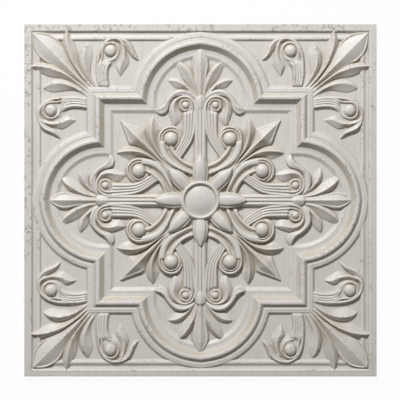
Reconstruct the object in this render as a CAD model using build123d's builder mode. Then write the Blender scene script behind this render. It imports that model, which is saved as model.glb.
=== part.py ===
from build123d import *
import os

# Decorative ceiling tile: one rigid PVC sheet drawn over a mould, then trimmed square.
# Millimetres, +Z up, face up. The origin is the middle of the tile, on the back of the
# inner field, which is the lowest face and the one the tile lies on.
# Levels are heights of the mould above the inner field. The sheet's back takes the
# mould's shape, and its front is the same face one sheet thickness higher.

# Sheet
tile_side = 603.0
sheet_thickness = 0.8
mould_base = 4.0

# Border, from the trimmed edge inwards
rim_width = 11.5
rim_level = 8.0
rim_slope_width = 5.0
channel_width = 2.5
channel_level = 5.0
bead_outer_slope = 2.0
bead_width = 5.0
bead_level = 6.3
bead_inner_slope = 4.5
corner_field_level = 3.5

# Quatrefoil moulding: a square with a round lobe on each side, given at its crest line
crest_half_side = 177.5
lobe_centre = 167.0
lobe_radius = 103.75
crest_level = 11.5
crest_half_width = 2.0
outer_slope_width = 6.5
rail_width = 8.0
rail_level = 7.0
rail_slope_width = 5.0
inner_slope_width = 11.0
step_width = 9.5
step_level = 3.0
step_slope_width = 6.5

# Boss in the middle: a dome in a groove in a ring
dome_radius = 23.5
dome_edge_level = 6.8
dome_level = 10.6
groove_radius = 26.0
groove_level = 5.0
ring_radius = 30.8
ring_level = 7.4
boss_foot_radius = 35.0

# Stem on each axis: a straight bar with sloped sides. The values are where it starts and ends,
# its half width, its height and how far its sides lean in.
axis_stem = (30.0, 178.0, 13.0, 6.0, 3.0)

# Leaves and petals. Each one lies between two arcs through its start and its tip, and rises
# from both edges at one slope to a ridge. The values are its start, its tip, how far the
# left and the right edge bulge out from the line between them, and the ridge's height.
# A negative bulge is a hollow edge, on the other side of that line. The foot of the slopes
# lies a little outside the drawn edges and ends. A band also has a level that it is cut off at.
foot_spread = 1.6
tip_spread = 2.0
form_root = 1.0

# Straight pieces from the middle of the tile, drawn along +X
axis_petal = ((22, 0), (82, 0), 14, 14, 11.5)
axis_collar = ((154, 0), (184, 0), 9.5, 9.5, 8.8)
diagonal_petal = ((20, 0), (84, 0), 16, 16, 11.8)
kite_stem = ((80, 0), (152, 0), 5.5, 5.5, 5.5)
kite_leaf = ((116, 0), (194, 0), 18, 18, 12.4)

# Straight pieces from the lobe's centre, and from the moulding's corner
lobe_axis_stalk = ((10, 0), (93, 0), 9, 9, 8)
lobe_axis_blade = ((36, 0), (93, 0), 15.5, 15.5, 8.8)
corner_stalk = ((14, 0), (126, 0), 8, 8, 8.4)
corner_blade = ((69, 0), (158, 0), 21.5, 21.5, 9.5)

# Curved pieces from the middle of the tile
side_stalk = ((55, 52), (146, 83), 22, -8, 10)
side_blade = ((95, 84), (146, 82.5), 10.5, 10.5, 9.5)
scroll_floor = ((44, 6), (124, 64), 21, -7, 16, 3.6)
scroll_outer_rim = ((43, 12), (116, 72), 18.9, -15.6, 8.6)
scroll_inner_rim = ((54, 6), (96, 54), 8.8, -4.8, 7.2)
reeded_band = ((73, 43), (172, 24), -2.5, 25, 14, 4.9)
s_leaf_top = ((152, 82), (186, 36), 3, 11, 7)
s_leaf_foot = ((176, 58), (177, 14), 8.5, -2, 5.5)
wavy_leaf = ((125, 44), (183, 40), 12, 6, 7.4)

# Curved pieces from the lobe's centre
lobe_second_stalk = ((7, 4), (74, 43), 8.5, 14, 6.7)
lobe_second_blade = ((36, 14), (72, 41), 12, 12, 7.4)
lobe_third_leaf = ((7, 8), (40, 60), 2, 13, 6)

# Curved pieces from the moulding's corner
corner_side_stalk = ((15, 6), (115, 53), 20.5, -2.5, 8.5)
corner_side_blade = ((50, 35), (117, 53.5), 12, 9.5, 8.6)
corner_low_stalk = ((14, -1), (95, 14), 23.5, -2.5, 7)
corner_low_blade = ((30, 12), (95, 14.5), 18, 5, 7.2)
corner_band = ((-6, -16), (99, -16), 20, 6, 14, 4.6)
curl_leaf = ((34, -39), (84, -46), 8, 12, 6.8)
spur_leaf = ((60, -73), (102, -31), 6, 10, 6.8)

# Scroll ends: place, then the crest radius, half width and height of each turn, and the
# radius and height of the round bead
inner_scroll = ((106.5, 51.5), ((21.3, 4.6, 8.6), (15.2, 3.6, 7.0)), (11.5, 13.0))
eye_scroll = ((-4.5, 28.0), ((11.7, 4.2, 7.2),), (6.6, 8.6))
corner_scroll = ((78.5, -22.5), ((20.3, 4.6, 5.6), (14.3, 4.0, 5.2)), (8.6, 9.5))
bead_cap_share = 0.52
skirt_spread = 3.0

# Places worked out from the sizes above
tile_half = tile_side / 2
rim_inner = tile_half - rim_width
channel_outer = rim_inner - rim_slope_width
channel_inner = channel_outer - channel_width
bead_outer = channel_inner - bead_outer_slope
bead_inner = bead_outer - bead_width
corner_field_half = bead_inner - bead_inner_slope
rail_inner = crest_half_width + outer_slope_width
rail_outer = rail_inner + rail_width
moulding_foot = rail_outer + rail_slope_width
strip_outer = -crest_half_width - inner_slope_width
strip_inner = strip_outer - step_width
inner_field_edge = strip_inner - step_slope_width


def square_form(low_half, low_level, high_half, high_level):
    """Four-sided frustum between two levels, for a square hill or a square basin."""
    with BuildPart() as form:
        with BuildSketch(Plane.XY.offset(low_level)):
            Rectangle(2 * low_half, 2 * low_half)
        with BuildSketch(Plane.XY.offset(high_level)):
            Rectangle(2 * high_half, 2 * high_half)
        loft()
    return form.part


def quatrefoil_form(low_offset, low_level, high_offset, high_level):
    """Quatrefoil hill or basin: both outlines are offset from the moulding's crest line."""
    with BuildPart() as form:
        add(square_form(crest_half_side + low_offset, low_level, crest_half_side + high_offset, high_level))
        with Locations((0, 0, low_level)):
            with PolarLocations(lobe_centre, 4):
                Cone(
                    lobe_radius + low_offset,
                    lobe_radius + high_offset,
                    high_level - low_level,
                    align=(Align.CENTER, Align.CENTER, Align.MIN),
                )
    return form.part


def boss_form():
    """Turned boss: the section from the axis out to the foot, closed below the field."""
    dome_sag = dome_level - dome_edge_level
    dome_arc = (dome_radius**2 + dome_sag**2) / (2 * dome_sag)
    with BuildPart() as form:
        with BuildSketch(Plane.XZ):
            with BuildLine():
                RadiusArc((0, dome_level), (dome_radius, dome_edge_level), dome_arc)
                Polyline(
                    (dome_radius, dome_edge_level),
                    (groove_radius, groove_level),
                    (ring_radius, ring_level),
                    (boss_foot_radius, -form_root),
                    (0, -form_root),
                    (0, dome_level),
                )
            make_face()
        revolve(axis=Axis.Z)
    return form.part


def ball_form(place, ground, radius, height):
    """Round bead: a sloped skirt that narrows to the radius, then a round cap."""
    cap_height = bead_cap_share * height
    skirt_height = height - cap_height
    cap_radius = (radius**2 + cap_height**2) / (2 * cap_height)
    with BuildPart() as form:
        with BuildSketch(Plane.XZ):
            with BuildLine():
                RadiusArc((0, height), (radius, skirt_height), cap_radius)
                Polyline(
                    (radius, skirt_height),
                    (radius + skirt_spread, -form_root),
                    (0, -form_root),
                    (0, height),
                )
            make_face()
        revolve(axis=Axis.Z)
    return form.part.moved(Location((*place, ground)))


def turn_form(place, ground, crest_radius, half_width, height):
    """Turn of a scroll: a ring with a triangular section round a place."""
    base_half = half_width * (height + form_root) / height
    with BuildPart() as form:
        with BuildSketch(Plane.XZ):
            Polygon(
                (crest_radius - base_half, -form_root),
                (crest_radius + base_half, -form_root),
                (crest_radius, height),
                align=None,
            )
        revolve(axis=Axis.Z)
    return form.part.moved(Location((*place, ground)))


def bar_form(start, end, half_width, height, side_run):
    """Straight bar along +X whose four sides lean in by the run over its height."""
    root_run = side_run * form_root / height
    with BuildPart() as form:
        for level, run in ((-form_root, -root_run), (height, side_run)):
            with BuildSketch(Plane.XY.offset(level)):
                with Locations(((start + end) / 2, 0)):
                    Rectangle(end - start - 2 * run, 2 * (half_width - run))
        loft()
    return form.part


def leaf_form(origin, ground, start, tip, left_bulge, right_bulge, height, cut_level=None):
    """Leaf between two arcs: a bulging edge is the flank of a cone that narrows upwards,
    and a hollow edge is cut by a cone that widens upwards, both at the leaf's slope."""
    heading = (Vector(*tip) - Vector(*start)).normalized()
    chord = Vector(*tip) - Vector(*start) + heading * (2 * tip_spread)
    middle = Vector(*origin) + (Vector(*start) + Vector(*tip)) / 2
    left = Vector(0, 0, 1).cross(heading)
    sides = [(left_bulge + foot_spread, left), (right_bulge + foot_spread, left * -1)]
    sides.sort(key=lambda side: -side[0])
    run = (sides[0][0] + sides[1][0]) / 2 / height
    top = height + form_root if cut_level is None else cut_level
    with BuildPart() as form:
        for (bulge, outwards), mode in zip(sides, (Mode.ADD, Mode.INTERSECT)):
            radius = (chord.length**2 / 4 + bulge**2) / (2 * bulge)
            narrowing = run if bulge > 0 else -run
            cone_top = top if bulge > 0 else top + form_root
            centre = middle + outwards * (bulge - radius)
            with Locations((centre.X, centre.Y, ground - form_root)):
                Cone(
                    abs(radius) + narrowing * form_root,
                    abs(radius) - narrowing * cone_top,
                    cone_top + form_root,
                    align=(Align.CENTER, Align.CENTER, Align.MIN),
                    mode=mode if bulge > 0 else Mode.SUBTRACT,
                )
    return form.part


# Ground of the mould: border, corner field, moulding and inner field
with BuildPart() as ground_form:
    with BuildSketch(Plane.XY.offset(-mould_base)):
        Rectangle(tile_side, tile_side)
    extrude(amount=mould_base + rim_level)
    add(square_form(channel_outer, channel_level, rim_inner, rim_level), mode=Mode.SUBTRACT)
    add(square_form(channel_inner, channel_level, bead_outer, bead_level))
    add(square_form(corner_field_half, corner_field_level, bead_inner, bead_level), mode=Mode.SUBTRACT)
    add(quatrefoil_form(moulding_foot, corner_field_level, rail_outer, rail_level))
    add(quatrefoil_form(rail_inner, rail_level, crest_half_width, crest_level))
    add(quatrefoil_form(strip_outer, step_level, -crest_half_width, crest_level), mode=Mode.SUBTRACT)
    add(quatrefoil_form(inner_field_edge, 0, strip_inner, step_level), mode=Mode.SUBTRACT)

# Ornament on the axes and on the diagonals, both drawn along +X
middle = (0, 0)
lobe = (lobe_centre, 0)
corner = (crest_half_side, crest_half_side)
corner_distance = crest_half_side * 2**0.5
with BuildPart() as axis_ornament:
    add(bar_form(*axis_stem))
    for leaf in (axis_petal, axis_collar):
        add(leaf_form(middle, 0, *leaf))
    for leaf in (lobe_axis_stalk, lobe_axis_blade):
        add(leaf_form(lobe, 0, *leaf))
with BuildPart() as diagonal_ornament:
    for leaf in (diagonal_petal, kite_stem, kite_leaf):
        add(leaf_form(middle, 0, *leaf))
    for leaf in (corner_stalk, corner_blade):
        add(leaf_form((corner_distance, 0), corner_field_level, *leaf))

# Ornament between an axis and a diagonal, with its mirror image across the axis
inner_leaves = (
    side_stalk,
    side_blade,
    scroll_floor,
    scroll_outer_rim,
    scroll_inner_rim,
    reeded_band,
    s_leaf_top,
    s_leaf_foot,
    wavy_leaf,
)
lobe_leaves = (lobe_second_stalk, lobe_second_blade, lobe_third_leaf)
corner_leaves = (
    corner_side_stalk,
    corner_side_blade,
    corner_low_stalk,
    corner_low_blade,
    corner_band,
    curl_leaf,
    spur_leaf,
)
with BuildPart() as side_ornament:
    for origin, ground, leaves, scroll in (
        (middle, 0, inner_leaves, inner_scroll),
        (lobe, 0, lobe_leaves, eye_scroll),
        (corner, corner_field_level, corner_leaves, corner_scroll),
    ):
        for leaf in leaves:
            add(leaf_form(origin, ground, *leaf))
        scroll_place, turns, bead = scroll
        place = (origin[0] + scroll_place[0], origin[1] + scroll_place[1])
        for turn in turns:
            add(turn_form(place, ground, *turn))
        add(ball_form(place, ground, *bead))
    mirror(about=Plane.XZ)

# The mould: ground, boss and four turns of each ornament
with BuildPart() as mould:
    add(ground_form.part)
    add(boss_form())
    with PolarLocations(0, 4):
        add(axis_ornament.part)
        add(side_ornament.part)
    with PolarLocations(0, 4, start_angle=45):
        add(diagonal_ornament.part)

# The tile: the sheet lies between the mould and the same face one thickness higher
with BuildPart() as ceiling_tile:
    add(mould.part.moved(Location((0, 0, sheet_thickness))))
    add(mould.part, mode=Mode.SUBTRACT)
ceiling_tile.part.label = "ceiling_tile"

os.makedirs("parts", exist_ok=True)
export_step(ceiling_tile.part, "parts/ceiling_tile.step")
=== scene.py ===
import bpy
import numpy as np
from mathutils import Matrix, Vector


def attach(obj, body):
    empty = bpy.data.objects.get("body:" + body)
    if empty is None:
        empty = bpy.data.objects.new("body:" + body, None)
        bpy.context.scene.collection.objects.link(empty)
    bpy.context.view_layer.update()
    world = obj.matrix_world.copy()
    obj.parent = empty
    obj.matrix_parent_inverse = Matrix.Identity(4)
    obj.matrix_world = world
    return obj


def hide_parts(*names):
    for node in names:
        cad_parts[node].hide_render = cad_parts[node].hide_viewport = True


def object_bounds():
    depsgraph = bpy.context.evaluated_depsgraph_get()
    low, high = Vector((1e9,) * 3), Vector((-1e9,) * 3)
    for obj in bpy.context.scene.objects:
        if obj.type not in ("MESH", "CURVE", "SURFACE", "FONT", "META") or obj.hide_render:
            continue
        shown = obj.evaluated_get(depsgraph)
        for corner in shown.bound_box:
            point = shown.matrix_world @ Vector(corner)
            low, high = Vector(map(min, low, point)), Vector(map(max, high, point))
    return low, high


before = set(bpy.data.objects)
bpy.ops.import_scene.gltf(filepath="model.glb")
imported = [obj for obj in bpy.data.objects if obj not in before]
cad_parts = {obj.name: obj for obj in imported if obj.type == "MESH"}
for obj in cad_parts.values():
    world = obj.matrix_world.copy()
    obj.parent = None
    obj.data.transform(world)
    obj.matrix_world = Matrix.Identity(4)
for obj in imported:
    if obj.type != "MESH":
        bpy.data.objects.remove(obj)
cad_low, cad_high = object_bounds()

# The sheet before it is formed: one square of rigid PVC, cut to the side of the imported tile.
# Its face is a height over a grid that covers one quarter, from the middle of the tile out to
# the corner. The relief is worked out in millimetres, and every quarter is the same.
MM = 0.001
side = (cad_high.x - cad_low.x) / MM
half_side = side / 2
sheet_thickness = 0.8
relief_top = (cad_high.z - cad_low.z) / MM - sheet_thickness
cells = 504
grid_cell = half_side / cells
grid_line = np.linspace(0, half_side, cells + 1)
grid_x, grid_y = np.meshgrid(grid_line, grid_line)


def smooth_step(value, low, high):
    """0 below low, 1 above high and 3t^2 - 2t^3 between, with t the share of the way."""
    t = np.clip((value - low) / (high - low), 0, 1)
    return t * t * (3 - 2 * t)


def slope_between(value, points):
    """Height along a section: straight runs through (place, height) points."""
    places, heights = np.array(points, float).T
    return np.interp(value, places, heights)


# Border: a plain flat rim all round, trimmed after forming, then a step down into a narrow
# channel and a low round bead. It is formed in the same sheet, and the rim is what lies on
# the flange of a ceiling grid. A section is (distance from the edge, height) points.
corner_field = 3.5
from_edge = half_side - np.maximum(grid_x, grid_y)
border_section = [
    (0.0, 7.6), (0.8, 8.0), (7.0, 8.0), (9.0, 8.2), (11.0, 8.1), (12.0, 7.6), (14.8, 4.5),
    (16.0, 4.2), (18.6, 4.3), (20.2, 5.2), (21.4, 6.1), (23.5, 6.5), (25.6, 6.4), (26.6, 6.0),
    (28.4, 3.7), (29.4, corner_field), (half_side, corner_field),
]
height = slope_between(from_edge, border_section)

# Quatrefoil moulding: a raised crest that runs round a square with a round lobe on each side.
# Formed in the same sheet, it falls outwards to a low rail and inwards down a steep slope to a
# strip and a small step, and the inner field lies at the bottom. Its corners are mitred.
crest_half_side = 177.5
lobe_centre = 167.0
lobe_radius = 103.75
crest_point = 1.3
crest_point_run = 7.0
square_offset = np.maximum(grid_x, grid_y) - crest_half_side
lobe_point = crest_point * np.exp(-np.minimum(grid_x, grid_y) / crest_point_run)
lobe_offset_x = np.hypot(grid_x - lobe_centre, grid_y) - lobe_radius - lobe_point
lobe_offset_y = np.hypot(grid_x, grid_y - lobe_centre) - lobe_radius - lobe_point
crest_offset = np.minimum(square_offset, np.minimum(lobe_offset_x, lobe_offset_y))
moulding_section = [
    (-29.5, 0.0), (-28.5, 0.15), (-23.5, 2.8), (-22.0, 3.2), (-20.0, 3.0), (-16.8, 3.0),
    (-15.4, 3.4), (-13.4, 3.4), (-12.4, 4.0), (-4.6, 11.0), (-3.6, 11.5), (-1.0, 11.6),
    (0.6, 11.3), (1.5, 10.6), (5.2, 7.2), (6.4, 6.9), (7.8, 7.5), (9.4, 7.8), (11.0, 7.4),
    (12.2, 7.2), (13.6, 7.4), (14.8, 6.9), (18.6, corner_field),
]
moulding = slope_between(crest_offset, moulding_section)
inside_moulding = crest_offset < 0
height = np.where(inside_moulding, moulding, np.maximum(height, moulding))

# Boss: a shallow dome in a groove inside a round ring, in the middle of the tile, where the
# eight petals start. It is formed in the same sheet, over a turned part of the mould.
boss_section = [
    (0.0, 10.0), (1.2, 10.3), (2.4, 10.6), (6.0, 10.5), (12.0, 9.7), (17.0, 8.6), (21.0, 7.4),
    (24.0, 6.4), (25.4, 6.0), (26.4, 6.2), (27.3, 8.2), (28.2, 9.9), (29.6, 10.7), (31.0, 10.5),
    (32.4, 9.3), (33.6, 7.2), (35.0, 5.0), (38.0, 3.0), (43.0, 0.0),
]
boss = slope_between(np.hypot(grid_x, grid_y), boss_section)
height = np.maximum(height, boss)


# Petals, stem and collar on the axes, and petals and kite leaves on the diagonals: straight
# forms of the same sheet, alike on both sides of their line. Each petal is a swollen core in a
# thin outer rim, and the stem is three reeds side by side that end in a smooth collar.
def smooth_line(points, spacing=1.0):
    """Smooth line through given points, sampled evenly: on each run between two points
    p(t) = (2t^3-3t^2+1) a + (t^3-2t^2+t) h m + (3t^2-2t^3) b + (t^3-t^2) h n, with m and n the
    slopes at its ends and h its length. Further columns, such as heights, ride along."""
    knots = np.array(points, float)
    at = np.r_[0, np.cumsum(np.hypot(*np.diff(knots[:, :2], axis=0).T))]
    slopes = np.gradient(knots, at, axis=0)
    places = np.linspace(0, at[-1], max(int(at[-1] / spacing), 2) + 1)
    run = np.clip(np.searchsorted(at, places, side="right") - 1, 0, len(at) - 2)
    length = (at[run + 1] - at[run])[:, None]
    t = ((places - at[run]) / length[:, 0])[:, None]
    start_part = (2 * t**3 - 3 * t**2 + 1) * knots[run] + (t**3 - 2 * t**2 + t) * length * slopes[run]
    end_part = (3 * t**2 - 2 * t**3) * knots[run + 1] + (t**3 - t**2) * length * slopes[run + 1]
    return start_part + end_part


def along_table(along, table):
    """Value at each distance along a straight piece, smooth through the table, 0 beyond it."""
    line = smooth_line(table)
    return np.interp(along, line[:, 0], line[:, 1], left=0, right=0)


def straight_form(along, across, widths, tops, edge, cliff=1.6, roundness=1.3):
    """Straight leaf: across it the height goes from the top on its line to the edge level as
    top - (top - edge) s^roundness, s the share of the half width, then drops over the cliff."""
    half_width = np.maximum(along_table(along, widths), 1e-6)
    share = np.abs(across) / half_width
    top = along_table(along, tops)
    body = top - (top - np.minimum(edge, top)) * np.clip(share, 0, 1) ** roundness
    wall = smooth_step(half_width - np.abs(across), 0, cliff)
    return np.where(share < 1, body * wall, 0)


# Places along and across the diagonal. The tables of the straight forms are (distance from
# the middle of the tile, half width) and (distance, height) points.
diagonal_along = (grid_x + grid_y) / 2**0.5
diagonal_across = (grid_y - grid_x) / 2**0.5

stem_widths = [(58, 9.0), (68, 11.0), (90, 11.4), (120, 11.0), (150, 10.4), (165, 9.5), (176, 7.0)]
stem_tops = [(58, 4.6), (178, 4.6)]
reed_pitch = 6.2
reed_height = 2.2
reeds_half_width = 10.2
stem_bar_level = 3
from_reed = np.abs(grid_y) / (reed_pitch / 2) - np.round(np.abs(grid_y) / reed_pitch) * 2
stem_reeds = reed_height * (1 - np.minimum(np.abs(from_reed), 1) ** 2)
stem = straight_form(grid_x, grid_y, stem_widths, stem_tops, edge=3.6, cliff=1.8)
on_bar = np.where(stem > stem_bar_level, stem_reeds, 0)
stem = stem + on_bar * smooth_step(reeds_half_width - grid_y, 0, 1)
collar = straight_form(
    grid_x, grid_y,
    [(156, 0), (158, 7.0), (162, 9.0), (170, 10.4), (176, 9.4), (179, 6.0), (180, 0)],
    [(156, 7.2), (162, 8.2), (172, 8.8), (178, 8.0), (180, 7.0)],
    edge=4.5,
)
petal_section = [
    (0.0, 1.0), (0.3, 0.97), (0.5, 0.90), (0.62, 0.80), (0.69, 0.68), (0.74, 0.59), (0.79, 0.59),
    (0.84, 0.67), (0.91, 0.67), (1.0, 0.54),
]


def petal(along, across, widths, tops, cliff=1.5):
    """Petal: its top height times the section, read at the share of the half width, and a wall
    that drops over the cliff. The section swells in the middle and has a thin rim."""
    half_width = np.maximum(along_table(along, widths), 1e-6)
    share = np.abs(across) / half_width
    wall = smooth_step(half_width - np.abs(across), 0, cliff)
    body = along_table(along, tops) * slope_between(share, petal_section)
    return np.where(share < 1, body * wall, 0)


axis_petal = petal(
    grid_x, grid_y,
    [
        (28, 11.2), (36, 13.2), (44, 14.2), (52, 13.9), (60, 12.7), (67, 10.6), (72, 8.0),
        (76, 5.0), (79.5, 1.0),
    ],
    [(30, 8.0), (36, 9.6), (44, 11.2), (52, 12.2), (60, 12.3), (68, 11.5), (74, 10.2), (80, 9.0)],
)
diagonal_petal = petal(
    diagonal_along, diagonal_across,
    [(25, 9.4), (34, 12.4), (44, 13.8), (54, 13.4), (62, 11.2), (68, 8.2), (73, 4.8), (77.5, 0.8)],
    [(30, 8.0), (36, 9.4), (44, 11.0), (52, 12.0), (60, 12.0), (67, 11.0), (74, 9.6), (78, 8.8)],
)
height = np.maximum(height, diagonal_petal)
for piece in (stem, collar, axis_petal):
    height = np.maximum(height, np.maximum(piece, piece.T))

kite_widths = [
    (84, 1.2), (96, 2.2), (107, 3.4), (118, 4.4), (128, 5.4), (138, 8.8), (146, 13.0), (152, 17.6),
    (154.5, 18.8), (160, 16.6), (168, 13.0), (176, 9.2), (185, 4.9), (194.5, 0.4),
]
kite_tops = [
    (84, 5.0), (100, 6.0), (118, 8.6), (134, 11.4), (147, 12.6), (157, 12.2), (166, 10.4),
    (176, 7.4), (188, 3.8), (196, 2.4),
]
kite = straight_form(
    diagonal_along, diagonal_across, kite_widths, kite_tops,
    edge=1.8, cliff=1.0, roundness=0.95,
)
height = np.maximum(height, kite)


# Inner palmette: beside each kite leaf a side leaf of the same sheet curls out towards the
# lobe, and the kite's outer edge has a thin raised rim. A leaf is drawn by its two edges and
# its ridge, all three from root to tip, and its faces rise from the edges to the sharp ridge.
def window_round(*lines, margin=3):
    """Rows and columns of the grid that hold the lines, with a margin in millimetres."""
    places = np.concatenate([line[:, :2] for line in lines])
    low = np.floor((places.min(axis=0) - margin) / grid_cell).astype(int)
    high = np.ceil((places.max(axis=0) + margin) / grid_cell).astype(int)
    low = np.clip(low, 0, cells)
    high = np.clip(high, 1, cells + 1)
    return slice(low[1], high[1]), slice(low[0], high[0])


def offset_from(line, x, y):
    """Distance of each point from the line, plus to its left and minus to its right, and the
    place along the line in samples. Beside the nearest sample it is (p - q) . normal, and past
    an end the distance to that end."""
    nearest = np.argmin((x[..., None] - line[:, 0]) ** 2 + (y[..., None] - line[:, 1]) ** 2, axis=-1)
    heading = np.gradient(line[:, :2], axis=0)
    spacing = np.hypot(heading[:, 0], heading[:, 1])
    heading = heading / spacing[:, None]
    dx = x - line[nearest, 0]
    dy = y - line[nearest, 1]
    ahead = dx * heading[nearest, 0] + dy * heading[nearest, 1]
    left = dy * heading[nearest, 0] - dx * heading[nearest, 1]
    last = len(line) - 1
    past_last = np.where(nearest == last, np.maximum(ahead, 0), 0)
    past_end = np.where(nearest == 0, np.maximum(-ahead, 0), past_last)
    side_sign = np.where(left < 0, -1.0, 1.0)
    place = np.clip(nearest + ahead / spacing[nearest], 0, last)
    return side_sign * np.hypot(left, past_end), place


def inside_outline(outline, x, y):
    """True where a ray to the right of the point crosses the closed outline an odd number of
    times."""
    x0, y0 = outline[:, 0], outline[:, 1]
    x1, y1 = np.roll(x0, -1), np.roll(y0, -1)
    crosses = (y0 > y[..., None]) != (y1 > y[..., None])
    run = np.where(y1 == y0, 1e-9, y1 - y0)
    cross_x = x0 + (y[..., None] - y0) * (x1 - x0) / run
    return (np.count_nonzero(crosses & (x[..., None] < cross_x), axis=-1) % 2) == 1


def raise_to(window, level):
    """Lifts the face of the tile to a level where the level is higher."""
    height[window] = np.maximum(height[window], level)


def leaf(left, ridge, right, edge=2.0, right_edge=1.4, cliff=1.2, hollow=1.15, floor=0.0):
    """Leaf from two edges and a ridge (x, y, height): height = floor + wall (edge + (ridge -
    edge) s^hollow), s the share of the way from the nearer edge to the ridge, and the wall a
    smooth step over the cliff next to the edge. Each side has its own edge height."""
    left_line, ridge_line, right_line = smooth_line(left), smooth_line(ridge), smooth_line(right)
    window = window_round(left_line, right_line)
    x, y = grid_x[window], grid_y[window]
    ridge_offset, place = offset_from(ridge_line, x, y)
    left_offset = np.abs(offset_from(left_line, x, y)[0])
    right_offset = np.abs(offset_from(right_line, x, y)[0])
    edge_offset = np.where(ridge_offset > 0, left_offset, right_offset)
    share = edge_offset / (edge_offset + np.abs(ridge_offset) + 1e-6)
    ridge_height = np.interp(place, np.arange(len(ridge_line)), ridge_line[:, 2])
    low_edge = np.minimum(np.where(ridge_offset > 0, edge, right_edge), ridge_height)
    rise = low_edge + (ridge_height - low_edge) * share**hollow
    wall = smooth_step(np.minimum(left_offset, right_offset), 0, cliff)
    outline = np.concatenate([left_line[:, :2], right_line[::-1, :2]])
    raise_to(window, np.where(inside_outline(outline, x, y), floor + rise * wall, 0))


def rim(line_points, half_width=1.8, floor=0.0):
    """Round rim along a line of (x, y, height): floor + height (1 - (d / half width)^2)^0.7,
    d the distance from the line, which leaves its sides steep and its top round."""
    line = smooth_line(line_points)
    window = window_round(line)
    offset, place = offset_from(line, grid_x[window], grid_y[window])
    top = np.interp(place, np.arange(len(line)), line[:, 2])
    share = np.clip(np.abs(offset) / half_width, 0, 1)
    raise_to(window, np.where(share < 1, floor + top * (1 - share**2) ** 0.7, 0))


def mound(x, y, radius, top, floor=0.0):
    """Low smooth mound that fills the grooves where leaves meet: floor + top times the smooth
    step of 1 - d/r from 0 to 0.9, d the distance from its middle."""
    window = window_round(np.array([(x - radius, y - radius), (x + radius, y + radius)]))
    share = np.hypot(grid_x[window] - x, grid_y[window] - y) / radius
    raise_to(window, np.where(share < 1, floor + top * smooth_step(1 - share, 0, 0.9), 0))


mound(56, 54, radius=30, top=3.6)
leaf(
    left=[
        (55, 55), (63, 61), (70, 66), (79, 73), (87, 79), (96, 85), (104, 89), (112, 92),
        (122, 93.5), (130, 92), (138, 87.5), (144, 81.5),
    ],
    ridge=[
        (55, 53, 4.6), (63, 59, 6.4), (71, 64.5, 7.6), (80, 71, 8.8), (90, 77.2, 9.8),
        (100, 81.2, 10.4), (110, 83.6, 10.6), (120, 84.3, 10.0), (130, 83.8, 8.4),
        (138, 82.3, 5.4), (144, 81, 2.0),
    ],
    right=[
        (56, 50.5), (63, 56), (70, 60.5), (80, 68), (90, 73), (100, 75.5), (109, 75.2), (116, 72),
        (122, 70), (130, 72.3), (138, 76.6), (144, 81),
    ],
    right_edge=1.0, hollow=1.5,
)
rim(
    [
        (119.0, 97.6, 5.0), (121.4, 101, 5.6), (125.2, 110.5, 5.4), (129.2, 120.5, 5.0),
        (133.4, 131, 4.4), (136.4, 136.4, 3.4),
    ],
    half_width=1.7,
)


# Inner scrolls: a broad band with a deep hollow between a wide outer rim and a thin inner one
# springs from beside the axis petal, and its rims wind round a large bead. Like the rest it is
# drawn into the sheet by the mould, with no part put on.
def band(lower, upper, section, cliff=1.4, rise_run=6.0, fade=7.0, lean=(1.0, 1.0), floor=0.0):
    """Band between two edges: floor + wall h(s^p), s the share of the way from the lower edge to
    the upper one, h straight runs through the section's (share, height) points, and p the lean
    that goes from its first to its second value along the band. It rises over its first run
    and sinks away over the fade at its far end."""
    lower_line, upper_line = smooth_line(lower), smooth_line(upper)
    window = window_round(lower_line, upper_line)
    x, y = grid_x[window], grid_y[window]
    lower_offset, lower_place = offset_from(lower_line, x, y)
    upper_offset, upper_place = offset_from(upper_line, x, y)
    lower_offset, upper_offset = np.abs(lower_offset), np.abs(upper_offset)
    share = lower_offset / (lower_offset + upper_offset + 1e-6)
    lower_last, upper_last = len(lower_line) - 1, len(upper_line) - 1
    to_end = (lower_last - lower_place) * (1 - share) + (upper_last - upper_place) * share
    along = lower_place / lower_last * (1 - share) + upper_place / upper_last * share
    leant = share ** (lean[0] + (lean[1] - lean[0]) * along)
    from_start = lower_place * (1 - share) + upper_place * share
    ends = smooth_step(to_end, -1, fade) * (0.45 + 0.55 * smooth_step(from_start, 0, rise_run))
    rise = slope_between(leant, section) * ends
    wall = smooth_step(np.minimum(lower_offset, upper_offset), 0, cliff)
    outline = np.concatenate([lower_line[:, :2], upper_line[::-1, :2]])
    raise_to(window, np.where(inside_outline(outline, x, y), floor + rise * wall, 0))


def ball(x, y, radius, top, floor=0.0, neck=0.55):
    """Round bead: floor + top ((1 - neck) sqrt(1 - (d/r)^2) + neck wall), a round cap on a
    short steep neck, d the distance from its middle and the wall a smooth step over the outer
    0.14 of the radius."""
    window = window_round(np.array([(x - radius, y - radius), (x + radius, y + radius)]))
    share = np.hypot(grid_x[window] - x, grid_y[window] - y) / radius
    cap = np.sqrt(np.clip(1 - share**2, 0, 1))
    wall = smooth_step(1 - share, 0, 0.14)
    raise_to(window, np.where(share < 1, floor + top * ((1 - neck) * cap + neck * wall), 0))


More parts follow.
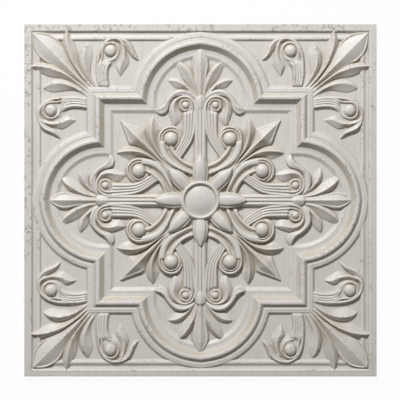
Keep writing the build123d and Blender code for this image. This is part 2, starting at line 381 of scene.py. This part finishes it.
scroll_section = [
    (0.0, 4.4), (0.05, 6.4), (0.11, 7.4), (0.19, 8.0), (0.29, 8.1), (0.38, 7.6), (0.44, 6.2),
    (0.51, 3.2), (0.57, 2.2), (0.65, 2.2), (0.70, 3.6), (0.755, 6.0), (0.82, 7.2), (0.88, 7.2),
    (0.94, 6.0), (1.0, 3.6),
]
band(
    [
        (42, 11), (45.6, 22), (50.2, 33), (55, 43), (59.5, 51.5), (66, 59.5), (74, 66),
        (84, 70.3), (95, 72.6), (108, 73.8),
    ],
    [
        (62.4, 8.6), (65.4, 20.4), (70.4, 29.5), (76, 35.2), (82.5, 40.8), (90, 45.2), (97, 47.6),
        (104, 48.6),
    ],
    scroll_section, rise_run=16, fade=9, lean=(0.62, 1.12),
)
ball(105.5, 50.5, radius=20.6, top=4.0, neck=0.92)
rim(
    [
        (80, 64.6, 6.4), (88, 67.8, 7.6), (96, 69.4, 8.0), (104, 70.2, 8.0), (112, 69, 7.9),
        (119, 64.6, 7.7), (123.6, 58, 7.4), (125.2, 50.4, 7.0), (124, 43.4, 6.4),
        (119.8, 37.4, 5.4), (113, 33.4, 4.0), (106, 32, 2.0),
    ],
    half_width=2.8,
)
rim(
    [
        (88, 62.2, 3.0), (95, 64.4, 5.0), (101, 65.8, 6.6), (107, 65.7, 7.2), (113, 63.4, 7.2),
        (118.4, 57.8, 7.4), (120.2, 50.6, 7.4), (118.2, 43, 7.4), (112.6, 37.2, 7.2),
        (105.4, 35.4, 7.0), (99, 37.2, 6.6), (94.4, 41, 6.2), (91, 45.4, 5.0),
    ],
    half_width=1.9,
)
ball(105.5, 50.5, radius=12.4, top=13.0, neck=0.3)

# Reeded bands: four round reeds of the same sheet come out from under the scroll and run beside
# the stem, and two rims wind on round a small eye.
reed_section = [
    (0.0, 3.4), (0.06, 5.4), (0.13, 6.2), (0.20, 5.4), (0.25, 4.0), (0.30, 5.4), (0.365, 6.5),
    (0.42, 5.6), (0.465, 4.1), (0.51, 5.7), (0.575, 6.7), (0.635, 5.8), (0.68, 4.3), (0.73, 5.9),
    (0.80, 6.8), (0.88, 6.0), (0.95, 4.0), (1.0, 2.0),
]
band(
    [
        (70.5, 34.4), (84, 25), (94.5, 17.8), (105, 12.4), (116, 9.2), (130, 7.6), (145, 6.2),
        (160, 6.0),
    ],
    [(80.5, 46.4), (93, 39), (101, 34.6), (110, 31), (120, 30), (134, 30), (147, 30.4), (154, 31)],
    reed_section, rise_run=3, fade=9,
)
ball(163, 25.5, radius=12.6, top=3.6, neck=0.92)
rim(
    [
        (128, 10.4, 5.0), (140, 8.6, 6.2), (150, 8.2, 6.6), (160, 8.8, 6.9), (168.6, 11.8, 7.0),
        (174.6, 17.4, 7.0), (177.3, 25, 7.0), (176.3, 34, 7.0), (172, 41, 7.0), (165, 45.6, 7.0),
        (157, 46.8, 6.4),
    ],
    half_width=3.0,
)
rim(
    [
        (128, 15.4, 4.6), (140, 14.2, 6.0), (150, 14, 6.5), (158, 13.8, 6.7), (166, 15.8, 6.8),
        (171.2, 20.4, 6.8), (172.2, 26.6, 6.8), (169.8, 32.2, 6.8), (164.6, 34.8, 6.6),
        (158.8, 34, 6.4), (155, 30.6, 6.2), (154, 26, 6.0), (155.6, 21.8, 5.6),
    ],
    half_width=2.1,
)
ball(163, 25.5, radius=6.6, top=8.6, neck=0.35)

# Leaves that curl off the inner scrolls, formed in the same sheet: a wavy one beside the reeded
# band, and an S-shaped one that runs from the foot of the lobe's palmette to the moulding.
leaf(
    left=[
        (127, 44), (131, 47.5), (137, 50), (145, 53), (155, 54.5), (165, 52.5), (173, 47),
        (178, 38),
    ],
    ridge=[
        (127, 44, 1.5), (133, 43.8, 4.0), (140, 44, 5.8), (150, 46, 7.0), (160, 46.6, 7.2),
        (168, 44, 7.2), (174, 38.5, 7.0), (177, 31, 6.4),
    ],
    right=[
        (127, 44), (130, 39), (134, 35), (140, 32), (147, 32.5), (153, 35.5), (160, 38.5),
        (167, 37), (171, 32), (173, 28),
    ],
    edge=2.6,
)
leaf(
    left=[
        (180, 9), (185, 15), (189, 23), (190.8, 33), (188.8, 42), (183, 50), (174.5, 57.5),
        (166.5, 62.5), (160.5, 69), (157.5, 75), (155.5, 80),
    ],
    ridge=[
        (177, 11, 4.8), (182, 17, 6.6), (185.4, 25, 7.6), (186, 34, 8.0), (183.6, 42, 8.0),
        (177.6, 50, 7.8), (169.4, 56.5, 7.8), (162, 60.5, 7.8), (157.4, 66, 7.4),
        (156.2, 73, 5.8), (155.5, 80, 1.8),
    ],
    right=[
        (174, 12), (177, 19), (178.6, 27), (178.4, 36), (175.6, 44.5), (169, 50.5), (160.5, 53.5),
        (152.5, 56.5), (148, 61.5), (146.6, 68), (149, 74.5), (155, 80),
    ],
    edge=2.4, right_edge=0.8,
)

# Lobe palmette: a broad leaf on the axis, with a thin line inside its edge, and two narrower
# leaves on each side of it. They fan out from the collar, over a low mound in the inner field,
# and are formed in the same sheet.
mound(176, 0, radius=36, top=3.2)
lobe_leaf = straight_form(
    grid_x, grid_y,
    [
        (176, 5.0), (182, 6.0), (190, 7.0), (200, 8.8), (212, 11.2), (222, 13.4), (230, 14.9),
        (236, 15.2), (242, 14.2), (248, 11.0), (254, 6.4), (260, 0.6),
    ],
    [(176, 6.4), (195, 7.8), (215, 9.2), (232, 9.8), (245, 8.8), (253, 7.0), (260, 5.0)],
    edge=2.6, cliff=1.4, roundness=0.95,
)
height = np.maximum(height, np.maximum(lobe_leaf, lobe_leaf.T))
rim(
    [
        (256.6, 2.2, 5.6), (252, 5.6, 6.0), (246, 9.0, 6.2), (240, 11.2, 6.2), (234, 12.0, 6.0),
        (226, 11.2, 5.8), (216, 9.2, 5.4), (204, 7.4, 5.0),
    ],
    half_width=2.0,
)
leaf(
    left=[
        (179, 9.5), (185, 12), (191, 15.5), (200, 23.6), (207, 29.4), (213, 33), (220, 36.8),
        (226, 39), (232, 40.6), (237.5, 37.5),
    ],
    ridge=[
        (179, 6.6, 4.8), (185, 7.2, 5.8), (192, 8.6, 6.8), (200, 11, 7.6), (208, 14.4, 8.2),
        (216, 18.6, 8.4), (224, 24, 8.2), (231, 29.6, 7.0), (237.5, 37, 2.6),
    ],
    right=[
        (179, 4.6), (187, 4.8), (196, 5.4), (205, 7.6), (213, 10.6), (221, 14.6), (228, 19.6),
        (233.5, 25.6), (237.8, 35.6),
    ],
    edge=1.4, right_edge=2.4,
)
leaf(
    left=[
        (177, 14), (183, 17), (188, 21.5), (190.5, 27), (191.3, 34), (192, 40.5), (194.6, 46),
        (199, 51), (205, 56),
    ],
    ridge=[
        (177, 12.4, 4.4), (184, 16, 5.6), (190, 21, 6.4), (196, 26.5, 6.8), (200.6, 33, 6.8),
        (203.8, 40, 6.4), (205.2, 48, 5.0), (205.4, 56, 1.6),
    ],
    right=[
        (179, 10.8), (186, 13), (193, 18), (200, 24), (205.6, 30.4), (209, 37), (210, 44),
        (208.8, 50.5), (205.6, 56.4),
    ],
    edge=1.4, right_edge=2.4,
)

# Corner palmette: a rounded leaf on the diagonal with a thin rim, whose end runs out over the
# border, and two pointed leaves on each side. They fan out from the corner of the moulding,
# over a low mound, and are formed in the same sheet.
mound(188, 186, radius=38, top=2.4, floor=corner_field)
corner_leaf = straight_form(
    diagonal_along, diagonal_across,
    [
        (270, 2.2), (282, 3.0), (293, 4.2), (304, 6.6), (316, 9.0), (328, 11.6), (338, 15.2),
        (347, 18.6), (356, 21.0), (365, 22.0), (374, 21.2), (383, 18.8), (390, 15.0), (397, 9.4),
        (403, 4.2), (406.5, 0.6),
    ],
    [
        (270, 7.6), (290, 9.0), (310, 10.8), (330, 12.4), (350, 12.95), (366, 12.8), (380, 11.8),
        (394, 10.4), (407, 9.2),
    ],
    edge=5.0, cliff=1.4, roundness=1.12,
)
height = np.maximum(height, corner_leaf)
rim(
    [
        (252, 233.8, 3.6), (260, 236.8, 4.2), (267, 240.4, 4.6), (274, 246.2, 4.9),
        (279.2, 253.2, 5.1), (283, 260.8, 5.2), (285, 268.6, 5.3), (285.8, 277, 5.5),
        (285.6, 285.2, 5.8),
    ],
    half_width=1.7, floor=corner_field,
)
leaf(
    left=[
        (193, 189), (203, 197.5), (212, 205), (221, 212), (231, 219.5), (241, 226), (250, 230.6),
        (259, 234), (268, 236), (277, 236), (285, 233), (293, 229.5),
    ],
    ridge=[
        (193, 186, 3.8), (201, 193, 5.2), (210, 201, 6.4), (220, 208.5, 7.4), (230, 215, 8.2),
        (240, 220, 8.8), (250, 223.6, 9.1), (260, 226.8, 9.1), (270, 228.6, 8.6),
        (280, 229.4, 7.6), (293, 229.5, 5.4),
    ],
    right=[
        (193, 182), (202, 189), (211, 196), (221, 202.6), (231, 207), (241, 209.6), (251, 210.4),
        (260, 211.6), (268, 214.8), (275, 218.6), (282, 221.4), (288, 225), (293, 229),
    ],
    edge=2.6, floor=corner_field,
)
leaf(
    left=[
        (193, 181), (202, 190), (212, 197.5), (222, 203), (233, 206.6), (244, 207.6), (253, 206),
        (261, 202), (266.5, 196.6), (270, 191),
    ],
    ridge=[
        (193, 178, 3.4), (201, 184, 5.0), (210, 190, 6.2), (220, 195, 7.0), (230, 198.6, 7.6),
        (241, 200.2, 7.8), (251, 199.8, 7.2), (260, 197.4, 5.4), (266, 194, 3.4), (270, 191, 1.6),
    ],
    right=[
        (193, 175), (201, 180), (210, 185), (219, 187.6), (229, 187.4), (240, 185.8),
        (250, 184.4), (258, 185.8), (265, 188.6), (270, 191),
    ],
    edge=2.4, floor=corner_field,
)

# Corner scroll: a reeded band of the same sheet leaves the moulding and bends to a ring round
# a bead, its outer rims wind round the ring, and two small leaves curl off below.
corner_reed_section = [
    (0.0, 0.0), (0.10, 0.3), (0.17, 3.6), (0.22, 5.2), (0.28, 5.5), (0.33, 4.9), (0.375, 3.6),
    (0.42, 4.8), (0.475, 5.6), (0.52, 4.9), (0.55, 3.7), (0.585, 4.9), (0.635, 5.6), (0.68, 4.9),
    (0.71, 3.8), (0.745, 5.0), (0.80, 5.7), (0.87, 5.0), (0.94, 3.2), (1.0, 1.2),
]
band(
    [(193.6, 153), (204, 154.6), (215, 155.2), (225, 153.8), (232.6, 149.6), (238, 142.6)],
    [(193.6, 176), (200, 177.4), (212, 179.4), (224, 179.6), (235, 176.4), (245, 170)],
    corner_reed_section, rise_run=3, fade=10, floor=corner_field,
)
mound(249.5, 150.5, radius=23, top=3.6, floor=corner_field)
ball(255.4, 154.4, radius=19.4, top=2.4, floor=corner_field, neck=0.92)
rim(
    [
        (218, 161.8, 3.6), (226, 161.4, 5.2), (233, 160.4, 5.4), (238.6, 157.2, 5.2),
        (240.2, 151.6, 5.0), (242.2, 146.2, 4.8), (246, 142.4, 4.4),
    ],
    half_width=2.1, floor=corner_field,
)
rim(
    [
        (197, 171.8, 3.0), (210, 174.4, 5.2), (225, 175.4, 5.6), (238, 175, 5.7),
        (250, 173.4, 5.7), (260, 170.2, 5.7), (268, 165.2, 5.7), (273.6, 158.6, 5.7),
        (276.6, 150.8, 5.7), (276.6, 143, 5.7), (272.6, 136.6, 5.6), (265, 132.4, 5.4),
    ],
    half_width=3.2, floor=corner_field,
)
rim(
    [
        (225, 170.6, 5.0), (238, 169.4, 5.4), (247, 168, 5.6), (255, 168, 5.6), (263, 165.4, 5.6),
        (268.4, 159.6, 5.6), (269.8, 152.4, 5.6), (267, 145.4, 5.6), (260.6, 141, 5.6),
        (252.8, 140.6, 5.4), (246.6, 143.6, 5.2), (243.4, 149, 4.6), (243, 156.4, 3.2),
    ],
    half_width=2.2, floor=corner_field,
)
ball(256, 154.2, radius=10.6, top=9.4, floor=corner_field, neck=0.35)
leaf(
    left=[
        (212, 137.8), (218, 140.6), (224, 143.6), (229.5, 145), (235, 142.6), (241, 138.6),
        (249, 136.2), (258, 136), (267, 138.6),
    ],
    ridge=[
        (212, 137.5, 1.6), (218, 138.2, 3.6), (224, 138.2, 5.2), (230, 136.2, 6.0),
        (237, 133.2, 6.4), (246, 130.8, 6.4), (256, 130.2, 6.2), (264, 132, 5.8),
        (271, 136.4, 5.4),
    ],
    right=[
        (212, 137), (216, 133.6), (221, 130), (228, 125.2), (236, 121.6), (243, 122.6),
        (251, 125.6), (260, 128), (269, 132),
    ],
    edge=2.4, floor=corner_field,
)
leaf(
    left=[
        (239, 105), (240.2, 109), (242.6, 113.8), (246.6, 118.6), (252, 122.6), (258, 126.4),
        (264.6, 130.6), (270, 136), (273.4, 143),
    ],
    ridge=[
        (239.2, 105, 1.6), (243, 109.8, 4.4), (249.6, 115, 6.2), (257.6, 118.4, 6.6),
        (265.4, 121.6, 6.9), (271, 126, 6.8), (275.6, 133.6, 6.4), (277.8, 142, 5.8),
    ],
    right=[
        (239.4, 104.6), (246, 107.2), (254, 111.2), (262, 114.4), (269.6, 118.4), (274, 124),
        (278, 132), (280, 141), (279.6, 148),
    ],
    edge=2.2, floor=corner_field,
)


# The formed sheet: the quarter is mirrored about its diagonal, its creases are softened as hot
# PVC softens them over a mould, and its back follows the front, more loosely. The trimmed edge
# joins the two. Four mirrored quarters are welded into one sheet.
def shifts(values, reach, axis, mode):
    """The grid shifted along an axis by -reach to reach cells, padded at its borders by mode."""
    padding = [(reach, reach) if axis == each else (0, 0) for each in (0, 1)]
    padded = np.pad(values, padding, mode=mode)
    length = values.shape[axis]
    return (np.take(padded, range(k, k + length), axis=axis) for k in range(2 * reach + 1))


def blurred(values, sigma):
    """Gaussian average over sigma millimetres, with the grid mirrored at its borders."""
    reach = int(3 * sigma / grid_cell) + 1
    weights = np.exp(-0.5 * (np.arange(-reach, reach + 1) * grid_cell / sigma) ** 2)
    weights = weights / weights.sum()
    for axis in (0, 1):
        shifted = shifts(values, reach, axis, "reflect")
        values = sum(weight * part for weight, part in zip(weights, shifted))
    return values


def lowest_near(values, reach):
    """Lowest value within a square of reach cells to every side."""
    for axis in (0, 1):
        values = np.min(list(shifts(values, reach, axis, "edge")), axis=0)
    return values


height = np.maximum(height, height.T)
crease_softness = 0.5
back_reach = 3
back_softness = 1.2
back_lift = 0.3
relief = np.clip(blurred(height, crease_softness), 0, relief_top)
back_relief = np.maximum(blurred(lowest_near(relief, back_reach), back_softness), 0)
back_relief = np.minimum(back_relief, relief + back_lift)

# Front grid, back grid four times as coarse, and the edge that joins them along the two outer
# sides, with four front runs to each back run.
back_step = 4
count = cells + 1
back_count = cells // back_step + 1
front_points = np.stack([grid_x, grid_y, relief + sheet_thickness], axis=-1).reshape(-1, 3)
pick = slice(None, None, back_step)
back_grid = [grid_x[pick, pick], grid_y[pick, pick], back_relief[pick, pick]]
back_points = np.stack(back_grid, axis=-1).reshape(-1, 3)
front_index = np.arange(count * count).reshape(count, count)
back_index = count * count + np.arange(back_count * back_count).reshape(back_count, back_count)


def grid_triangles(index):
    """Two triangles for each cell of a grid of point numbers, facing up."""
    a, b = index[:-1, :-1].ravel(), index[:-1, 1:].ravel()
    c, d = index[1:, 1:].ravel(), index[1:, :-1].ravel()
    return np.concatenate([np.stack([a, b, c], axis=1), np.stack([a, c, d], axis=1)])


def edge_triangles(front_row, back_row):
    """Triangles of the cut edge between a row of front points and its coarser row of back
    points: a fan from each back point over half of its front runs, and one to its neighbour."""
    run = np.arange(len(front_row) - 1)
    apex = back_row[(run + back_step // 2) // back_step]
    fans = np.stack([front_row[run], apex, front_row[run + 1]], axis=1)
    middles = front_row[back_step // 2::back_step]
    joins = np.stack([back_row[:-1], back_row[1:], middles], axis=1)
    return np.concatenate([fans, joins])


quarter_points = np.concatenate([front_points, back_points])
quarter_faces = np.concatenate([
    grid_triangles(front_index),
    grid_triangles(back_index)[:, ::-1],
    edge_triangles(front_index[:, -1], back_index[:, -1]),
    edge_triangles(front_index[-1, :], back_index[-1, :])[:, ::-1],
])
quarter_mesh = bpy.data.meshes.new("quarter")
quarter_mesh.from_pydata(quarter_points.tolist(), [], quarter_faces.tolist())
quarter = bpy.data.objects.new("quarter", quarter_mesh)
bpy.context.scene.collection.objects.link(quarter)
quarter_triangles = 48500
thinned = quarter.modifiers.new("fewer triangles", "DECIMATE")
thinned.ratio = quarter_triangles / len(quarter_faces)
bpy.context.view_layer.update()
thin_mesh = quarter.evaluated_get(bpy.context.evaluated_depsgraph_get()).to_mesh()
thin_mesh.calc_loop_triangles()
points = np.empty(len(thin_mesh.vertices) * 3)
thin_mesh.vertices.foreach_get("co", points)
points = points.reshape(-1, 3)
points[:, 2] = np.maximum(points[:, 2], 0)
faces = np.empty(len(thin_mesh.loop_triangles) * 3, dtype=np.int32)
thin_mesh.loop_triangles.foreach_get("vertices", faces)
faces = faces.reshape(-1, 3)
bpy.data.objects.remove(quarter)
bpy.data.meshes.remove(quarter_mesh)

# Points on the two inner cuts go exactly onto them, so that mirrored quarters meet. Turning the
# face order back in the mirrored ones keeps every face outwards.
cut_snap = 0.05
weld_decimals = 3
points[:, :2][np.abs(points[:, :2]) < cut_snap] = 0
copies = []
copy_faces = []
for k, (sign_x, sign_y) in enumerate([(1, 1), (-1, 1), (-1, -1), (1, -1)]):
    copies.append(points * [sign_x, sign_y, 1])
    copy_faces.append((faces if sign_x * sign_y > 0 else faces[:, ::-1]) + k * len(points))
points = np.concatenate(copies)
faces = np.concatenate(copy_faces)
_, first, welded = np.unique(
    np.round(points, weld_decimals), axis=0, return_index=True, return_inverse=True,
)
points = points[first]
faces = welded.reshape(-1)[faces]
whole = (faces[:, 0] != faces[:, 1]) & (faces[:, 1] != faces[:, 2]) & (faces[:, 2] != faces[:, 0])
faces = faces[whole]
sheet_mesh = bpy.data.meshes.new("ceiling_tile_sheet")
sheet_mesh.from_pydata((points * MM).tolist(), [], faces.tolist())
sheet = bpy.data.objects.new("ceiling_tile_sheet", sheet_mesh)
bpy.context.scene.collection.objects.link(sheet)


def at_points(values, places):
    """Value of a quarter grid at (x, y) places of any quarter, between its four grid points."""
    cell = np.clip(np.abs(places) / grid_cell, 0, cells - 1e-6)
    low = cell.astype(int)
    share = cell - low
    column, row = low[:, 0], low[:, 1]
    right, up = share[:, 0], share[:, 1]
    bottom = values[row, column] * (1 - right) + values[row, column + 1] * right
    top = values[row + 1, column] * (1 - right) + values[row + 1, column + 1] * right
    return bottom * (1 - up) + top * up


# Face corners take their normal and their marks from the fine grid. In a large triangle the
# grid is read nearer to the middle, so that a flat stays flat beside a slope.
small_triangle = 1.2
large_triangle = 4.0
large_pull = 0.6
edge_tolerance = 0.01
corners = points[faces]
middle = corners.mean(axis=1, keepdims=True)
size = np.abs(corners - middle).max(axis=(1, 2))
pull = large_pull * smooth_step(size, small_triangle, large_triangle)[:, None, None]
read_at = (corners * (1 - pull) + middle * pull).reshape(-1, 3)
face_normal = np.cross(corners[:, 1] - corners[:, 0], corners[:, 2] - corners[:, 0])
face_normal /= np.linalg.norm(face_normal, axis=1, keepdims=True) + 1e-12
on_edge = np.abs(corners[:, :, :2]).max(axis=2).min(axis=1) > half_side - edge_tolerance
front_corner = np.repeat(~on_edge & (face_normal[:, 2] > 0), 3)
back_corner = np.repeat(~on_edge & (face_normal[:, 2] <= 0), 3)


def grid_normals(values, places):
    """Unit normals (-dz/dx, -dz/dy, 1) of a height grid, mirrored into the place's quarter."""
    slope_y, slope_x = np.gradient(values, grid_cell)
    slope_x = at_points(slope_x, places) * np.sign(places[:, 0])
    slope_y = at_points(slope_y, places) * np.sign(places[:, 1])
    normals = np.stack([-slope_x, -slope_y, np.ones(len(places))], axis=1)
    return normals / np.linalg.norm(normals, axis=1, keepdims=True)


normals = np.repeat(face_normal, 3, axis=0)
normals[front_corner] = grid_normals(relief, read_at[front_corner, :2])
normals[back_corner] = -grid_normals(back_relief, read_at[back_corner, :2])
sheet_mesh.polygons.foreach_set("use_smooth", np.ones(len(faces), dtype=bool))
sheet_mesh.normals_split_custom_set(normals)

# Marks for the finish, the painted shade and the painted highlight: how deep a place lies below what
# is round it, how proud it stands, how steep it is, and the flat rim.
near_reach = 1.8
near_depth = 2.4
wide_reach = 5.0
wide_depth = 5.0
wide_most = 0.7
proud_height = 1.0
slope_softness = 0.8
rim_inner = 12.5
rim_outer = 10.5
near_level = blurred(relief, near_reach)
wide_level = blurred(relief, wide_reach)
hollow = np.clip((near_level - relief) / near_depth, 0, 1)
hollow = np.maximum(hollow, np.clip((wide_level - relief) / wide_depth, 0, wide_most))
proud = np.clip((relief - near_level) / proud_height, 0, 1)
slope_y, slope_x = np.gradient(relief, grid_cell)
steep = np.clip(blurred(np.hypot(slope_x, slope_y), slope_softness), 0, 1)
rim_flat = smooth_step(from_edge, rim_inner, rim_outer)
for name, grid in (("hollow", hollow), ("proud", proud), ("steep", steep), ("rim", rim_flat)):
    mark = sheet_mesh.attributes.new(name, "FLOAT", "CORNER")
    values = np.where(front_corner, at_points(grid, read_at[:, :2]), 0)
    mark.data.foreach_set("value", values.astype(np.float32))
mark = sheet_mesh.attributes.new("front", "FLOAT", "CORNER")
mark.data.foreach_set("value", front_corner.astype(np.float32))


# Finish of the sheet: satin off-white PVC, painted shade as a thin tan film over its slopes, a brown
# wash in the hollows that is partly the finish and partly painted shade, a painted highlight that
# lightens the proud ridges, greyish wear on the proud edges and on the rim, and faint vertical brush
# marks. The back is the plain sheet.
class Socket:
    """A shader value: adding, subtracting and multiplying it makes Math nodes. One without an
    output only makes nodes in its tree."""

    def __init__(self, tree, output):
        self.tree = tree
        self.output = output

    def node(self, kind, settings=None, **inputs):
        """New node of a type: its settings first, then its sockets, named by number (_0) or by
        name (Base_Color)."""
        made = self.tree.nodes.new(kind)
        for key, value in (settings or {}).items():
            setattr(made, key, value)
        for key, value in inputs.items():
            socket = made.inputs[int(key[1:]) if key[1:].isdigit() else key.replace("_", " ")]
            if isinstance(value, Socket):
                self.tree.links.new(value.output, socket)
            else:
                socket.default_value = value
        return made

    def maths(self, operation, other):
        """Math node of this value and another, or a number."""
        made = self.node("ShaderNodeMath", {"operation": operation}, _0=self, _1=other)
        return Socket(self.tree, made.outputs[0])

    def __add__(self, other):
        return self.maths("ADD", other)

    __radd__ = __add__

    def __mul__(self, other):
        return self.maths("MULTIPLY", other)

    __rmul__ = __mul__

    def __sub__(self, other):
        return self.maths("SUBTRACT", other)

    def __rsub__(self, other):
        return self.maths("MULTIPLY", -1.0).maths("ADD", other)

    def ramp(self, low, high):
        """Smooth step from 0 at low to 1 at high."""
        smooth = {"interpolation_type": "SMOOTHSTEP"}
        made = self.node("ShaderNodeMapRange", smooth, _0=self, _1=low, _2=high)
        return Socket(self.tree, made.outputs[0])


material = bpy.data.materials.new("pvc_sheet")
material.use_nodes = True
tree = material.node_tree
tree.nodes.clear()
here = Socket(tree, Socket(tree, None).node("ShaderNodeTexCoord").outputs["Object"])


def attribute(name):
    """Mark of the mesh by name."""
    return Socket(tree, here.node("ShaderNodeAttribute", {"attribute_name": name}).outputs["Fac"])


def stretched(x, y, z):
    """Object coordinates scaled along each axis."""
    made = here.node("ShaderNodeVectorMath", {"operation": "MULTIPLY"}, _0=here, _1=(x, y, z))
    return Socket(tree, made.outputs[0])


def noise(place, scale, detail=3.0, roughness=0.55):
    """Noise value at a place."""
    made = here.node(
        "ShaderNodeTexNoise", {"noise_dimensions": "3D"},
        Vector=place, Scale=scale, Detail=detail, Roughness=roughness,
    )
    return Socket(tree, made.outputs[0])


def mix(share, first_colour, second_colour):
    """Colour between two: the first, and by the share the second."""
    colours = {"data_type": "RGBA"}
    made = here.node("ShaderNodeMix", colours, _0=share, _6=first_colour, _7=second_colour)
    return Socket(tree, made.outputs[2])


hollow_mark, proud_mark, front_mark = attribute("hollow"), attribute("proud"), attribute("front")
steep_mark, rim_mark = attribute("steep"), attribute("rim")
sheet_white = (0.735, 0.711, 0.682, 1)
# Brown of the wash in the hollows, partly the finish and partly painted shade in the creases.
wash_and_shade_brown = (0.235, 0.187, 0.116, 1)
# Tan of the painted shade on the slopes, which stands in for the shaded faces.
slope_shade_tan = (0.40, 0.33, 0.21, 1)
fleck_grey = (0.40, 0.37, 0.32, 1)
# Light colour of the painted highlight on the proud ridges.
ridge_highlight_white = (0.83, 0.815, 0.79, 1)
plain_back = (0.72, 0.71, 0.69, 1)
brush_stretch = 0.05
brush_scale = 300
cloud_scale = 26
fleck_scale = 170
patch_scale = 34
wear_scale = 16
brush_share = 0.14
cloud_share = 0.16
fleck_share = 0.12
slope_shade_share = 0.62
wash_and_shade_share = 0.54
ridge_highlight_share = 0.45
wear_share = 0.75
streaks = noise(stretched(1.0, brush_stretch, 1.0), brush_scale, 3.0).ramp(0.46, 0.70)
cloud = noise(here, cloud_scale, 4.0)
flecks = noise(here, fleck_scale, 6.0, 0.68).ramp(0.53, 0.58)
patches = noise(here, patch_scale, 3.0).ramp(0.44, 0.56)

# Wear: on proud edges it grows outwards from the middle of the tile, and on the rim there is
# more of it towards the top left.
parts = here.node("ShaderNodeSeparateXYZ", {}, Vector=here)
to_right, to_top = Socket(tree, parts.outputs[0]), Socket(tree, parts.outputs[1])
outwards = (to_right * to_right + to_top * to_top).ramp(0.012, 0.050)
to_top_left = (to_top * 1.3 - to_right * 0.5) * 0.35
worn_rim = rim_mark * flecks * (noise(here, wear_scale, 4.0) + to_top_left).ramp(0.53, 0.63)
worn_edge = proud_mark.ramp(0.08, 0.30) * flecks * patches * outwards
# The hollows get a brown wash, partly the finish and partly painted shade in the creases and under the
# ornament.
wash_and_shade = (hollow_mark.ramp(0.05, 0.80) * (0.55 + cloud * 0.6)).ramp(0.0, 1.0)
# Painted shade: the slopes take a tan film, so that the faces turned from the lamp read darker and
# browner.
slope_shade = steep_mark.ramp(0.20, 0.95) * (0.35 + cloud * 0.7)
colour = mix(streaks * brush_share + (cloud - 0.5) * cloud_share, sheet_white, fleck_grey)
colour = mix(flecks * patches * fleck_share, colour, fleck_grey)
colour = mix(slope_shade * slope_shade_share, colour, slope_shade_tan)
colour = mix(wash_and_shade * wash_and_shade_share, colour, wash_and_shade_brown)
# Painted highlight: the proud ridges and crests are lightened.
colour = mix(proud_mark.ramp(0.06, 0.35) * ridge_highlight_share, colour, ridge_highlight_white)
colour = mix(worn_edge * wear_share, colour, fleck_grey)
colour = mix(worn_rim * wear_share, colour, fleck_grey)
colour = mix(front_mark, plain_back, colour)
rough = 0.46 + flecks * 0.10 + wash_and_shade * 0.25
grain = flecks * -0.6 + cloud * 0.3 + streaks * -0.3
bump = here.node("ShaderNodeBump", {}, Strength=0.12, Distance=0.0004, Height=grain)
shader = here.node(
    "ShaderNodeBsdfPrincipled", {},
    Base_Color=colour, Roughness=rough, Normal=Socket(tree, bump.outputs[0]), IOR=1.47,
)
here.node("ShaderNodeOutputMaterial", {}, Surface=Socket(tree, shader.outputs[0]))
sheet_mesh.materials.append(material)

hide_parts("ceiling_tile")
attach(sheet, "root")

# Stage: a white floor that keeps a little of the tile's soft shadow, a round lamp high beyond
# its top edge and a little to the left, an even warm sky, and a long lens straight above.
floor_half = 6.0
floor_level = -0.0002
floor_corners = [(-1, -1), (1, -1), (1, 1), (-1, 1)]
floor_points = [(floor_half * x, floor_half * y, floor_level) for x, y in floor_corners]
floor_mesh = bpy.data.meshes.new("floor")
floor_mesh.from_pydata(floor_points, [], [(0, 1, 2, 3)])
floor = bpy.data.objects.new("floor", floor_mesh)
bpy.context.scene.collection.objects.link(floor)
floor_material = bpy.data.materials.new("floor_white")
floor_material.use_nodes = True
tree = floor_material.node_tree
tree.nodes.clear()
floor_nodes = Socket(tree, None)
ray = floor_nodes.node("ShaderNodeLightPath")
ray_kinds = ("Is Camera Ray", "Is Glossy Ray", "Is Transmission Ray")
looked_at, mirrored, through = (Socket(tree, ray.outputs[kind]) for kind in ray_kinds)
paper = floor_nodes.node("ShaderNodeBsdfPrincipled", {}, Base_Color=(0.96, 0.96, 0.96, 1), Roughness=0.9)
white = floor_nodes.node("ShaderNodeEmission", {}, Color=(1, 1, 1, 1), Strength=1.0)
seen = looked_at.maths("MAXIMUM", mirrored).maths("MAXIMUM", through) * 0.95
blend = floor_nodes.node(
    "ShaderNodeMixShader", {},
    _0=seen, _1=Socket(tree, paper.outputs[0]), _2=Socket(tree, white.outputs[0]),
)
floor_nodes.node("ShaderNodeOutputMaterial", {}, Surface=Socket(tree, blend.outputs[0]))
floor_mesh.materials.append(floor_material)

lamp_azimuth = np.radians(108)
lamp_elevation = np.radians(41)
lamp_distance = 3.2
key_data = bpy.data.lights.new("key", "AREA")
key_data.shape = "DISK"
key_data.size = 0.5
key_data.energy = 103
key = bpy.data.objects.new("key", key_data)
key.location = (
    lamp_distance * np.cos(lamp_elevation) * np.cos(lamp_azimuth),
    lamp_distance * np.cos(lamp_elevation) * np.sin(lamp_azimuth),
    lamp_distance * np.sin(lamp_elevation),
)
key.rotation_euler = (np.pi / 2 - lamp_elevation, 0, lamp_azimuth + np.pi / 2)
bpy.context.scene.collection.objects.link(key)

world = bpy.context.scene.world or bpy.data.worlds.new("sky")
bpy.context.scene.world = world
world.use_nodes = True
sky = world.node_tree.nodes["Background"]
sky.inputs["Color"].default_value = (1.0, 0.94, 0.84, 1)
sky.inputs["Strength"].default_value = 0.14

bpy.context.scene.view_settings.view_transform = "Standard"

# The view is 0.684 m wide, 400 pixels of 1.71 mm, at the height of the crest of the relief.
view_width = 0.684
view_level = 0.012
lens = 200
sensor_width = 36
camera_data = bpy.data.cameras.new("camera")
camera_data.lens = lens
camera_data.sensor_width = sensor_width
camera = bpy.data.objects.new("camera", camera_data)
camera.location = (-0.0007, 0.0005, view_width * lens / sensor_width + view_level)
bpy.context.scene.collection.objects.link(camera)
bpy.context.scene.camera = camera
